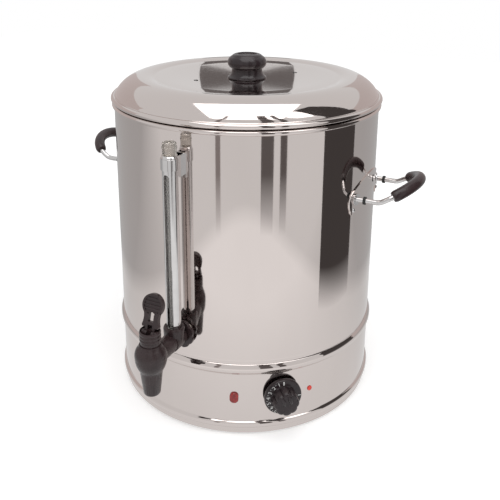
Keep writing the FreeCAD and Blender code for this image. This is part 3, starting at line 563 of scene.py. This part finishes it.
# Turned knob: bell-shaped foot, a waist, the round ball and a sunk cap on top.
def makeKnob(v):
    base, foot = v["middle"] + v["knobLift"], v["knobFoot"]
    profile = outline(
        (0, base), (foot - 1.0, base), ((foot - 0.2, base + 0.5), (foot, base + 1.7)),
        ((22.6, base + 5.2), (v["knobWaist"], base + 12.2)),
        ((21.0, base + 13.1), (21.9, base + 13.7)),
        ((v["knobBall"], base + 21.6), (21.0, base + 30.2)),
        ((17.8, base + 32.5), (14.4, base + 33.1)), ((13.7, base + 33.1), (13.4, base + 32.5)),
        ((13.1, base + 31.9), (12.4, base + 31.8)), (0, base + 32.1),
    )
    piece = turnedPiece("lidKnob", profile, segments=96, closed=False, sharp=60)
    finishPiece(piece, "glossBlack", "lid", "lid_knob", slot="dark_plastic")


makeLid(lidSet)
for name, azimuth in lidSet["vents"].items():
    makeVent(lidSet, name, azimuth)
makeKnob(lidSet)
print("lid ready")


# Sight gauge

gauge = {
    "out": 200.5,            # its axis, from the vessel's axis
    "bottom": 149.2,
    "top": 379.0,
    "guardRadius": 9.3,
    "guardWall": 0.9,
    "slotTop": 357.0,
    "slotHalf": 4.0,         # half the slot's width
    "glassRadius": 6.0,
    "glassWall": 1.3,
    "glassBottom": 152.2,
    "glassTop": 374.0,
}


# Slotted tube: at each height the wall runs round from one edge of the slot to the other,
# and the slot's half angle is asin(half width / radius), closing to nothing over a round arch.
def makeGuard(v):
    rows, columns = 12, 61
    spring = v["slotTop"] - v["slotHalf"]
    height = np.concatenate([
        np.linspace(v["bottom"], spring, rows),
        spring + v["slotHalf"] * np.sin(np.linspace(0, math.pi / 2, rows)[1:]),
        np.linspace(v["slotTop"], v["top"], 5)[1:],
    ])
    rise = np.clip((height - spring) / v["slotHalf"], 0, 1)
    half = np.arcsin(v["slotHalf"] * np.sqrt(1 - rise ** 2) / v["guardRadius"])
    share = np.linspace(0, 1, columns)[None, :]
    angle = -math.pi / 2 + half[:, None] + share * (2 * math.pi - 2 * half[:, None])
    grid = np.stack([v["guardRadius"] * np.cos(angle), -v["out"] + v["guardRadius"] * np.sin(angle),
                     height[:, None] + 0 * angle], axis=-1)
    faces = gridFaces(len(height), columns, False, False)
    piece = surfacePiece("gaugeGuard", grid.reshape(-1, 3), faces, 60)
    wall = piece.modifiers.new("wall", "SOLIDIFY")
    wall.thickness = v["guardWall"] * mm
    wall.offset = -1
    finishPiece(piece, "chrome", "urn", "gauge_guard", slot="chrome")


# Glass tube, turned from a thin upright rectangle.
def makeGlass(v):
    r, t, low, high = v["glassRadius"], v["glassWall"], v["glassBottom"], v["glassTop"]
    profile = outline((r, low), (r, high), (r - t, high), (r - t, low))
    piece = turnedPiece("gaugeGlass", profile, (0, -v["out"]), 48)
    finishPiece(piece, "glass", "urn", "gauge_glass", slot="clear_glass")


# Clear stopper: plug, stepped rim and shallow domed top.
def makeGaugeCap(v):
    top = v["top"]
    profile = outline(
        (0, top - 4.5), (4.5, top - 4.5), (4.5, top + 0.2), (8.3, top + 0.2), (8.5, top + 7.4),
        ((8.8, top + 7.7), (8.9, top + 8.3)), (8.9, top + 9.8),
        ((8.7, top + 10.4), (8.3, top + 10.6)), (8.3, top + 13.0),
        ((7.8, top + 14.9), (6.2, top + 15.6)), ((5.4, top + 15.5), (5.0, top + 15.0)),
        (0, top + 15.6),
    )
    piece = turnedPiece("gaugeCap", profile, (0, -v["out"]), 64, closed=False)
    finishPiece(piece, "clearPlastic", "urn", "gauge_cap", slot="clear_plastic")


makeGuard(gauge)
makeGlass(gauge)
makeGaugeCap(gauge)
finishPiece(refined("gaugeClip", "gauge_clip", 40, 0.25), "chrome", "urn", "gauge_clip",
            slot="chrome")
print("gauge ready")


# Tap

tapPieces = [
    # name, CAD node, body, rounding of the edges
    ("tapBody", "tap_body", "urn", 0.5),
    ("tapNut", "tap_outer_nut", "urn", 0.4),
    ("tapBonnet", "tap_bonnet", "urn", 0.4),
    ("tapLever", "tap_lever", "lever", 0.5),
]
for name, node, body, bevel in tapPieces:
    finishPiece(refined(name, node, 34, bevel), "black", body, node, slot="dark_plastic")

collar = {
    "out": 252.0,       # its axis, from the vessel's axis
    "low": 168.2,
    "high": 181.4,
    "bore": 11.45,
    "radius": 12.0,
    "rib": 0.7,         # how far each of the rounded rings stands out
    "rings": 3,
}


# Ribbed collar round the foot of the lever: an arc over nine tenths of each ring's height, then a
# short straight groove.
def makeCollar(v):
    steps = [(v["radius"], v["low"])]
    pitch = (v["high"] - v["low"]) / v["rings"]
    for k in range(v["rings"]):
        z = v["low"] + pitch * k
        steps.append(((v["radius"] + v["rib"], z + pitch * 0.45), (v["radius"], z + pitch * 0.9)))
        steps.append((v["radius"], z + pitch))
    steps += [(v["bore"], v["high"]), (v["bore"], v["low"])]
    piece = turnedPiece("leverCollar", outline(*steps), (0, -v["out"]), 96, sharp=50)
    finishPiece(piece, "black", "urn")


makeCollar(collar)
print("tap ready")


# Handles

handleSet = {
    "footHalfSpan": 45.0,    # half the distance between the two legs
    "height": 302.0,
    "legIn": 176.0,          # start and end of the level leg, from the vessel's axis
    "legOut": 206.0,
    "bend": 15.0,            # radii of the bend up, of the corners and of the apex
    "corner": 30.0,
    "apex": 47.0,
    "tilt": 30.0,            # degrees
    "wire": 3.25,            # radii of the wire and of the grip
    "grip": 7.49,
    "gripEnd": 0.86,         # radius of the grip's ends, in grip radii
    "gripEase": 1.6,         # path points over which the ends round off
}


# Half of the loop: a level leg, a bend up, a corner arc and the apex arc, one after another. The
# two arcs meet on the line through their centres.
def handlePath(v):
    slope = math.radians(v["tilt"])
    startT = v["bend"] * math.tan(slope / 2)
    offset = v["footHalfSpan"] - v["corner"]
    centreT = startT - math.sqrt((v["apex"] - v["corner"]) ** 2 - offset ** 2)
    share = v["apex"] / (v["apex"] - v["corner"])
    jointW, jointT = offset * share, centreT + (startT - centreT) * share
    out = np.linspace(v["legIn"], v["legOut"] - startT, 8)
    leg = np.column_stack([out, 0 * out + v["footHalfSpan"], 0 * out + v["height"]])
    angle = np.linspace(0, slope, 8)[1:]
    bend = np.column_stack([
        v["legOut"] - startT + v["bend"] * np.sin(angle), 0 * angle + v["footHalfSpan"],
        v["height"] + v["bend"] * (1 - np.cos(angle)),
    ])
    turn = np.linspace(0, math.atan2(jointT - startT, jointW - offset), 12)[1:]
    corner = np.column_stack([offset + v["corner"] * np.cos(turn),
                              startT + v["corner"] * np.sin(turn)])
    sweep = np.linspace(math.atan2(jointW, jointT - centreT), 0, 16)[1:]
    apex = np.column_stack([v["apex"] * np.sin(sweep), centreT + v["apex"] * np.cos(sweep)])
    flat = np.vstack([corner, apex])
    loop = np.column_stack([v["legOut"] + flat[:, 1] * math.cos(slope), flat[:, 0],
                            v["height"] + flat[:, 1] * math.sin(slope)])
    return np.vstack([leg, bend, loop]), len(apex)


# The other half is the same with its place along the wall reversed, and read backwards.
def mirrorPath(half):
    other = half[:-1][::-1] * [1, -1, 1]
    return np.vstack([half, other])


# Wire, flanges, grip, plate and rivets of one handle; way is 1 to the right and -1 to the left.
# The grip's radius rises at each end along a quarter of an ellipse.
def makeHandle(v, sideName, way):
    end = sideName.lower()
    half, apexCount = handlePath(v)
    flip = np.array([way, way, 1])
    wire = tubePiece("handleWire" + sideName, mirrorPath(half) * flip, v["wire"], 24)
    finishPiece(wire, "chrome", "urn", slot="chrome")
    flange = refined("handleFlange" + sideName, "handle_wire_" + end, 34, 0.3)
    finishPiece(flange, "chrome", "urn", "handle_wire_" + end, slot="chrome")
    sleeve = mirrorPath(half[-apexCount - 1:])
    count = np.arange(len(sleeve))
    ease = 1 - np.clip(1 - np.minimum(count, count[::-1]) / v["gripEase"], 0, 1) ** 2
    radius = v["grip"] * (v["gripEnd"] + (1 - v["gripEnd"]) * np.sqrt(ease))
    grip = tubePiece("handleGrip" + sideName, sleeve * flip, radius, 32)
    finishPiece(grip, "black", "urn", "handle_grip_" + end, slot="dark_plastic")
    plate = refined("handlePlate" + sideName, "handle_plate_" + end, 34, 0.3)
    finishPiece(plate, "mirror", "urn", "handle_plate_" + end, slot="polished_steel")
    rivets = refined("handleRivets" + sideName, "handle_rivets_" + end, 34)
    finishPiece(rivets, "chrome", "urn", "handle_rivets_" + end, slot="plain_steel")


for sideName, way in (("Right", 1), ("Left", -1)):
    makeHandle(handleSet, sideName, way)
print("handles ready")


# Controls

finishPiece(refined("lampLens", "lamp_lens", 40), "lampRed", "urn", "lamp_lens", slot="lamp_red")
finishPiece(refined("pointerDot", "pointer_dot", 40), "dotRed", "urn", "pointer_dot",
            slot="dot_red")

dialSet = {
    "azimuth": 41.0,         # degrees to the right of the tap
    "height": 58.0,          # of its axis above the table
    "back": 183.2,           # back and printed face, from the vessel's axis
    "face": 188.75,
    "profile": [
        # radius, depth, lobe depth
        (0, 0, 0), (24.3, 0, 0), (24.5, 0.3, 0), (24.5, 1.6, 0), (24.4, 3.6, 0), (24.1, 4.6, 0),
        (23.4, 5.3, 0), (22.9, 5.45, 0), (17.4, 5.5, 0), (17.1, 5.6, 0.5), (17.0, 6.2, 1.1),
        (16.9, 8, 1.2), (16.6, 17, 1.2), (16.3, 19.2, 1.15), (15.7, 20.8, 1.0), (14.6, 21.7, 0.8),
        (13.0, 22.1, 0.4), (10.0, 22.35, 0.1), (0, 22.5, 0),
    ],
    "segments": 320,
    "lobes": 8,
    "lobePower": 0.6,        # below 1, the hollows between the lobes are narrow
    "bars": [(-5.2, 5.6), (3.4, 7.2)],      # middles of the two finger bars
    "barDepth": 21.4,
    "barSize": (2.9, 7.4, 2.9),             # half their width, length and thickness
    "barLean": 22.0,                        # degrees
    "barGrid": (25, 40),                    # corners from pole to pole and round
    "numbers": "12345678",
    "size": 7.4,
    "ring": 20.2,            # radius of the ring of numbers
    "first": 108.0,          # degrees at the first number and from one to the next
    "step": 22.0,
    "marks": [(90.0, 1.5, 4.8, 0.0), (0.0, 1.0, 3.6, 0.8)],      # degrees, width, length, outwards
    "dotSize": 0.8,
    "dotOut": 1.8,
    "printDepth": 0.1,
}


# Placement on the dial: a distance out of the vessel's axis, facing outwards with its top up.
def dialFace(v, out):
    return (Matrix.Rotation(math.radians(v["azimuth"]), 4, "Z")
            @ Matrix.Translation(Vector((0, -out, v["height"])) * mm)
            @ Matrix.Rotation(math.pi / 2, 4, "X"))


# Finger bar, an ellipsoid about the origin: half its width, length and thickness times the points
# of a round ball, turned by its lean.
def barShape(v):
    rows, columns = v["barGrid"]
    down = np.linspace(0, math.pi, rows)[:, None]
    around = np.linspace(0, 2 * math.pi, columns, endpoint=False)[None, :]
    ball = np.stack([np.sin(down) * np.cos(around), np.sin(down) * np.sin(around),
                     np.cos(down) + 0 * around], axis=-1)
    lean = math.radians(v["barLean"])
    turn = np.array([[math.cos(lean), math.sin(lean), 0],
                     [-math.sin(lean), math.cos(lean), 0], [0, 0, 1]])
    return (ball.reshape(-1, 3) * v["barSize"]) @ turn, gridFaces(rows, columns, False, True)


# Number ring and lobed hub in one skin, with two leaning finger bars on its end. The hub's radius
# falls by twice the lobe depth times one less the cosine, raised to the lobe power, of the angle
# times half the lobes.
def makeDial(v):
    profile = np.array(v["profile"])
    angle = np.linspace(0, 2 * math.pi, v["segments"], endpoint=False)[None, :]
    radius, depth, lobe = (profile[:, k][:, None] for k in range(3))
    radius = radius - 2 * lobe * (1 - np.abs(np.cos(angle * v["lobes"] / 2)) ** v["lobePower"])
    grid = np.stack([radius * np.cos(angle), radius * np.sin(angle), depth + 0 * angle], axis=-1)
    corners = grid.reshape(-1, 3)
    faces = gridFaces(len(profile), v["segments"], False, True)
    bar, barFaces = barShape(v)
    for x, y in v["bars"]:
        faces = np.vstack([faces, barFaces + len(corners)])
        corners = np.vstack([corners, bar + (x, y, v["barDepth"])])
    knob = surfacePiece("dialKnob", corners, faces, 40)
    knob.data.transform(dialFace(v, v["back"]))
    finishPiece(knob, "glossBlack", "dial", "dial_knob", slot="dark_plastic")


# Placement of a mark on the dial's ring: out from its axis at an angle, facing outwards.
def dialPlace(v, reach, degrees, spin=0.0):
    angle = math.radians(degrees)
    spot = Vector((reach * math.cos(angle), reach * math.sin(angle), 0))
    flat = Matrix.Translation(spot * mm) @ Matrix.Rotation(angle + spin, 4, "Z")
    return dialFace(v, v["face"]) @ flat


# One number as a mesh, with the thickness of the print.
def numberMesh(v, number):
    words = bpy.data.curves.new("mark", "FONT")
    words.body = number
    words.size = v["size"] * mm
    words.align_x, words.align_y = "CENTER", "CENTER"
    words.extrude = v["printDepth"] / 2 * mm
    holder = newObject("mark", words)
    bpy.context.view_layer.update()
    mesh = bpy.data.meshes.new_from_object(holder)
    bpy.data.objects.remove(holder)
    return mesh


# One bar or dot as a thin block.
def barMesh(v, width, length):
    mesh = bpy.data.meshes.new("bar")
    shape = bmesh.new()
    bmesh.ops.create_cube(shape, size=1.0)
    size = Vector((length, width, v["printDepth"])) * mm
    bmesh.ops.scale(shape, vec=size, verts=shape.verts)
    shape.to_mesh(mesh)
    shape.free()
    return mesh


# Printed scale: two bars, the numbers round the left side and a dot between each two.
def makeDialMarks(v):
    whole = bmesh.new()
    for index, number in enumerate(v["numbers"]):
        mesh = numberMesh(v, number)
        mesh.transform(dialPlace(v, v["ring"], v["first"] + v["step"] * index, -math.pi / 2))
        whole.from_mesh(mesh)
    between = [v["first"] + v["step"] * (i + 0.5) for i in range(len(v["numbers"]) - 1)]
    dots = [(degrees, v["dotSize"], v["dotSize"], v["dotOut"]) for degrees in between]
    for degrees, width, length, outwards in v["marks"] + dots:
        mesh = barMesh(v, width, length)
        mesh.transform(dialPlace(v, v["ring"] + outwards, degrees))
        whole.from_mesh(mesh)
    joined = bpy.data.meshes.new("dialScale")
    whole.to_mesh(joined)
    whole.free()
    finishPiece(newObject("dialScale", joined), "print", "dial")


makeDial(dialSet)
makeDialMarks(dialSet)
print("controls ready")


# CAD nodes that keep their own shape

keptNodes = {
    "brushed": ["base_plate", "base_screws", "cover_brackets", "thermostat", "thermostat_nut",
                "lever_pin", "valve_spring", "lid_screw", "lid_washer"],
    "darkSteel": ["heating_element"],
    "brass": ["element_nuts", "earth_stud", "dial_shaft"],
    "copper": ["sensor_bulb"],
    "rubber": ["rubber_feet", "handle_ferrules_right", "handle_ferrules_left"],
    "silicone": ["element_seals", "tap_outer_washer", "tap_inner_washer", "seat_cup",
                 "gauge_seal"],
    "black": ["boil_dry_cutout", "cable_gland", "lamp_body", "tap_inner_nut", "valve_stem"],
    "whitePlastic": ["terminal_block"],
}
for finish, names in keptNodes.items():
    for name in names:
        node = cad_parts[name]
        node.data.materials.clear()
        node.data.materials.append(finishes[finish])
print("kept nodes dressed")


# Studio: pale floor, white backdrop, grey cards that only the polished steel sees, and soft lamps

studio = {
    "floor": 6.0,                # metres across, as all lengths here are
    "worldLight": 0.55,          # level of the backdrop as light, for the camera and in the steel
    "worldSeen": 1.0,
    "worldMirrored": 0.76,
    "liftReach": (0.5, 1.6),     # distances from the axis over which the floor's glow grows
    "lift": (0.36, 0.52),        # glow that the camera sees added to the floor
    "mirroredReach": (0.1, -0.5),      # behind the axis and in front of it
    "mirrored": (0.47, 0.78),    # levels of the floor that the steel sees there
    "tableScale": (2.0, 1.325, 0),     # oval of the table top
    "tablePlace": (0, 0.265, 0),
    "tableEdge": (0.88, 1.06),   # inner and outer edge of its soft outline, in oval radii
    "tableLift": 0.21,           # level that the steel sees added to it
    "cardTint": (1.0, 0.9, 0.88),
    "cards": {
        # degrees from the camera and across, distance, bottom, top, fading height and level
        "broadStrip": (15.0, 9.2, 0.80, 0.0, 1.6, 0.14, 0.13),
        "narrowStrip": (27.0, 5.1, 0.80, 0.0, 1.6, 0.14, 0.125),
        "faintStrip": (-20.6, 3.6, 0.80, 0.0, 1.5, 0.14, 0.27),
        "sideCard": (68.8, 30.2, 0.45, 0.0, 1.1, 0.08, 0.065),
        "farCard": (180.0, 13.0, 1.10, 0.56, 0.70, 0.03, 0.15),
        "shadeLeft": (-130.0, 66.0, 2.2, 0.0, 1.3, 0.04, 0.60),
        "shadeRight": (130.0, 66.0, 2.2, 0.0, 1.3, 0.04, 0.60),
    },
    "lampTarget": (0, 0, 0.25),
    "lamps": {
        # degrees from the camera and upwards, distance, width, depth and power
        "overhead": (0.0, 73.0, 1.8, 1.6, 2.0, 17.0),
        "side": (60.0, 50.0, 2.4, 1.0, 1.0, 5.0),
    },
}


# Number made of a first input times a second, plus a third.
def multiplyAdd(tree, first, second, third):
    node = tree.nodes.new("ShaderNodeMath")
    node.operation = "MULTIPLY_ADD"
    for socket, value in zip(node.inputs, (first, second, third)):
        if isinstance(value, (int, float)):
            socket.default_value = value
        else:
            tree.links.new(value, socket)
    return node.outputs[0]


# One for glossy and transmission rays, nothing for the others.
def mirroredRays(tree, rays):
    node = tree.nodes.new("ShaderNodeMath")
    node.operation = "MAXIMUM"
    tree.links.new(rays.outputs["Is Glossy Ray"], node.inputs[0])
    tree.links.new(rays.outputs["Is Transmission Ray"], node.inputs[1])
    return node.outputs[0]


# Surface of a material, as the mix of two shaders by a share between nothing and one.
def mixSurface(material, share, first, second):
    links = material.node_tree.links
    mix = addNode(material, "ShaderNodeMixShader")
    for socket, output in zip(mix.inputs, (share, first, second)):
        links.new(output, socket)
    links.new(mix.outputs[0], material.node_tree.nodes["Material Output"].inputs["Surface"])


# Flat four-cornered sheet that belongs to the studio.
def stagePlane(name, corners, material):
    mesh = bpy.data.meshes.new(name)
    mesh.from_pydata(corners, [], [(0, 1, 2, 3)])
    mesh.materials.append(material)
    plane = newObject(name, mesh)
    return plane


# Pale floor that takes the urn's shadow, with a glow added for the camera that grows further out.
# The steel sees no shading on it, only painted light: a glowing oval like a bright table top on a
# greyer floor, both brighter towards the camera.
def makeFloor(v):
    material = newFinish("paleFloor", (0.92, 0.92, 0.92), roughness=0.8, Specular_IOR_Level=0.0)
    tree = material.node_tree
    rays = addNode(material, "ShaderNodeLightPath")
    place = addNode(material, "ShaderNodeTexCoord")
    towards = (0, 0, -math.radians(cameraSet["azimuth"]))      # turns the pattern to the camera
    turned = addNode(material, "ShaderNodeMapping", Rotation=towards)
    table = addNode(material, "ShaderNodeVectorMath", operation="MULTIPLY_ADD")
    table.inputs[1].default_value = v["tableScale"]
    table.inputs[2].default_value = v["tablePlace"]
    apart = addNode(material, "ShaderNodeSeparateXYZ")
    reach = addNode(material, "ShaderNodeVectorMath", operation="LENGTH")
    edge = addNode(material, "ShaderNodeVectorMath", operation="LENGTH")
    tree.links.new(place.outputs["Object"], turned.inputs["Vector"])
    tree.links.new(place.outputs["Object"], reach.inputs[0])
    tree.links.new(turned.outputs["Vector"], apart.inputs[0])
    tree.links.new(turned.outputs["Vector"], table.inputs[0])
    tree.links.new(table.outputs[0], edge.inputs[0])
    lift = mapRange(material, reach.outputs["Value"], *v["liftReach"], *v["lift"])
    lift = multiplyAdd(tree, rays.outputs["Is Camera Ray"], lift, 0.0)
    front = mapRange(material, apart.outputs["Y"], *v["mirroredReach"], *v["mirrored"])
    onTable = mapRange(material, edge.outputs["Value"], *v["tableEdge"], v["tableLift"], 0.0)
    glows = []
    for strength in (lift, multiplyAdd(tree, front, 1.0, onTable)):
        glow = addNode(material, "ShaderNodeEmission", Color=(1, 1, 1, 1))
        tree.links.new(strength, glow.inputs["Strength"])
        glows.append(glow.outputs[0])
    lifted = addNode(material, "ShaderNodeAddShader")
    tree.links.new(tree.nodes["Principled BSDF"].outputs[0], lifted.inputs[0])
    tree.links.new(glows[0], lifted.inputs[1])
    mixSurface(material, mirroredRays(tree, rays), lifted.outputs[0], glows[1])
    half = v["floor"] / 2
    corners = [(-half, -half, 0), (half, -half, 0), (half, half, 0), (-half, half, 0)]
    stagePlane("floor", corners, material)


# White backdrop for the camera, a little greyer in the steel and lower as light.
def makeWorld(v):
    world = bpy.data.worlds.new("studio")
    scene.world = world
    world.use_nodes = True
    tree = world.node_tree
    background = tree.nodes["Background"]
    background.inputs["Color"].default_value = (1, 1, 1, 1)
    rays = tree.nodes.new("ShaderNodeLightPath")
    light = v["worldLight"]
    level = multiplyAdd(tree, mirroredRays(tree, rays), v["worldMirrored"] - light, light)
    level = multiplyAdd(tree, rays.outputs["Is Camera Ray"], v["worldSeen"] - light, level)
    tree.links.new(level, background.inputs["Strength"])


# Direction on the table, measured from the camera's side of the urn.
def fromCamera(azimuth):
    turn = math.radians(cameraSet["azimuth"] + azimuth)
    return Vector((math.sin(turn), -math.cos(turn), 0))


# Glowing grey card that fades out towards its bottom edge.
def cardFinish(v, name, low, fade, level):
    material = bpy.data.materials.new(name)
    material.use_nodes = True
    tree = material.node_tree
    tree.nodes.remove(tree.nodes["Principled BSDF"])
    place = addNode(material, "ShaderNodeTexCoord")
    apart = addNode(material, "ShaderNodeSeparateXYZ")
    tree.links.new(place.outputs["Object"], apart.inputs[0])
    solid = mapRange(material, apart.outputs["Z"], low, low + fade, 0.0, 1.0)
    glow = addNode(material, "ShaderNodeEmission", Color=(*(level * c for c in v["cardTint"]), 1))
    clear = addNode(material, "ShaderNodeBsdfTransparent")
    mixSurface(material, solid, clear.outputs[0], glow.outputs[0])
    return material


# Upright cards that only glossy rays see.
def makeCards(v):
    up = Vector((0, 0, 1))
    for name, (azimuth, width, reach, low, high, fade, level) in v["cards"].items():
        left = fromCamera(azimuth - width / 2) * reach
        right = fromCamera(azimuth + width / 2) * reach
        corners = [left + up * low, right + up * low, right + up * high, left + up * high]
        card = stagePlane(name, corners, cardFinish(v, name, low, fade, level))
        card.visible_camera = card.visible_diffuse = False
        card.visible_shadow = card.visible_transmission = False


# Soft rectangular lamps, each turned to the same point on the urn's axis.
def makeLamps(v):
    target = Vector(v["lampTarget"])
    for name, (azimuth, rise, reach, width, depth, power) in v["lamps"].items():
        data = bpy.data.lights.new(name, "AREA")
        data.shape = "RECTANGLE"
        data.size = width
        data.size_y = depth
        data.energy = power
        lamp = newObject(name, data)
        slope = math.radians(rise)
        away = fromCamera(azimuth) * math.cos(slope) + Vector((0, 0, math.sin(slope)))
        lamp.location = target + away * reach
        lamp.rotation_euler = (target - lamp.location).to_track_quat("-Z", "Y").to_euler()


makeFloor(studio)
makeWorld(studio)
makeCards(studio)
makeLamps(studio)
print("studio ready")
